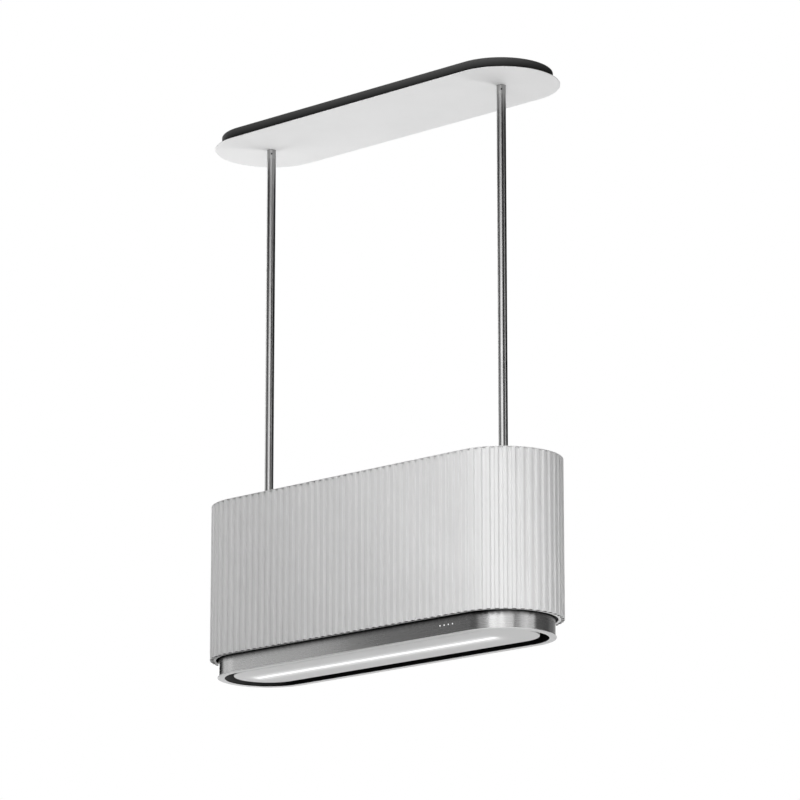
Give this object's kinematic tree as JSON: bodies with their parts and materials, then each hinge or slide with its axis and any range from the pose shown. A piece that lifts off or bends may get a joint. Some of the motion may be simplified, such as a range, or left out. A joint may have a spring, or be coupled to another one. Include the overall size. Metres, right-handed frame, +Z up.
{
  "type": "island range hood",
  "caption": "Island range hood hung on rods: fluted oval shroud, steel band, drop-down suction panel with light strip, blower and filters inside, and a flat ceiling cover.",
  "frame": {"origin": "middle of the ceiling bracket's upper face, which lies on the ceiling", "axes": "+X along the long side, towards the right rod seen from the control side; +Y to the back, away from the touch controls; +Z up into the ceiling"},
  "size_m": [0.904, 0.2466, 1.1904],
  "materials": {
    "galvanised_steel": "zinc-coated sheet, dull",
    "black_paint": "matt black powder coat",
    "white_paint": "satin white powder coat",
    "pale_paint": "satin pale grey paint",
    "brushed_steel": "fine brushed stainless steel",
    "plated_fasteners": "bright zinc plate",
    "white_nylon": "natural nylon",
    "black_rubber": "matt rubber",
    "grey_plastic": "moulded, fine texture",
    "carbon": "carbon granules in a mat",
    "aluminium": "mill finish",
    "black_plastic": "moulded",
    "circuit_board": "solder mask",
    "light_diffuser": "frosted acrylic, lit",
    "light_guides": "clear white acrylic, lit"
  },
  "bodies": {
    "hood": {"ceiling_bracket": "galvanised_steel", "top_deck": "galvanised_steel", "chassis_shell": "galvanised_steel", "plenum_deck": "galvanised_steel", "filter_frame": "galvanised_steel", "blower_scroll": "galvanised_steel", "blower_side_plates": "galvanised_steel", "motor_bracket": "galvanised_steel", "shroud_brackets": "galvanised_steel", "catch_posts": "galvanised_steel", "hinge_brackets": "galvanised_steel", "ceiling_housing": "black_paint", "suction_liner": "black_paint", "fluted_shroud": "white_paint", "top_cover": "white_paint", "outlet_grilles": "white_paint", "shroud_top_frame": "white_paint", "shroud_bottom_frame": "white_paint", "rim": "pale_paint", "steel_band": "brushed_steel", "rod_left": "brushed_steel", "rod_right": "brushed_steel", "rod_sockets": "brushed_steel", "m4_screws": "plated_fasteners", "grub_screws": "plated_fasteners", "rod_studs": "plated_fasteners", "rod_nuts": "plated_fasteners", "hinge_pins": "plated_fasteners", "magnets": "plated_fasteners", "motor_bearings": "plated_fasteners", "rod_grommets": "black_rubber", "blower_buffers": "black_rubber", "terminal_box": "grey_plastic", "terminal_box_lid": "grey_plastic", "supply_gland": "grey_plastic", "electronics_box": "grey_plastic", "carbon_filters": "grey_plastic", "led_driver": "grey_plastic", "carbon_pads": "carbon", "filter_left_frame": "aluminium", "filter_right_frame": "aluminium", "filter_meshes": "aluminium", "capacitor": "aluminium", "motor_housing": "aluminium", "touch_board": "circuit_board", "power_board": "circuit_board", "touch_light_guides": "light_guides"},
    "ceiling_cover": {"ceiling_cover": "white_paint", "cover_bushings": "white_nylon"},
    "suction_panel": {"panel_cover": "pale_paint", "panel_back": "galvanised_steel", "light_channel": "aluminium", "led_diffuser": "light_diffuser", "led_board": "circuit_board", "panel_screws": "plated_fasteners", "hinge_arms": "galvanised_steel"},
    "blower_wheel": {"impeller": "grey_plastic", "motor_shaft": "plated_fasteners"},
    "left_latch": {"filter_latch_left": "black_plastic"},
    "right_latch": {"filter_latch_right": "black_plastic"}
  },
  "joints": [
    {"name": "cover_slide", "type": "slide", "parent": "hood", "child": "ceiling_cover", "axis": [0, 0, -1], "range_m": [0, 0.78]},
    {"name": "panel_hinge", "type": "hinge", "parent": "hood", "child": "suction_panel", "pos_m": [0, 0.061, -1.179], "axis": [1, 0, 0], "range_deg": [0, 90]},
    {"name": "blower_spin", "type": "hinge", "parent": "hood", "child": "blower_wheel", "pos_m": [0, 0, -1.006], "axis": [1, 0, 0], "continuous": true},
    {"name": "left_latch_slide", "type": "slide", "parent": "hood", "child": "left_latch", "axis": [-1, 0, 0], "range_m": [0, 0.005], "stiffness_N_per_m": 300, "springref_m": -0.002},
    {"name": "right_latch_slide", "type": "slide", "parent": "hood", "child": "right_latch", "axis": [1, 0, 0], "range_m": [0, 0.005], "stiffness_N_per_m": 300, "springref_m": -0.002}
  ]
}
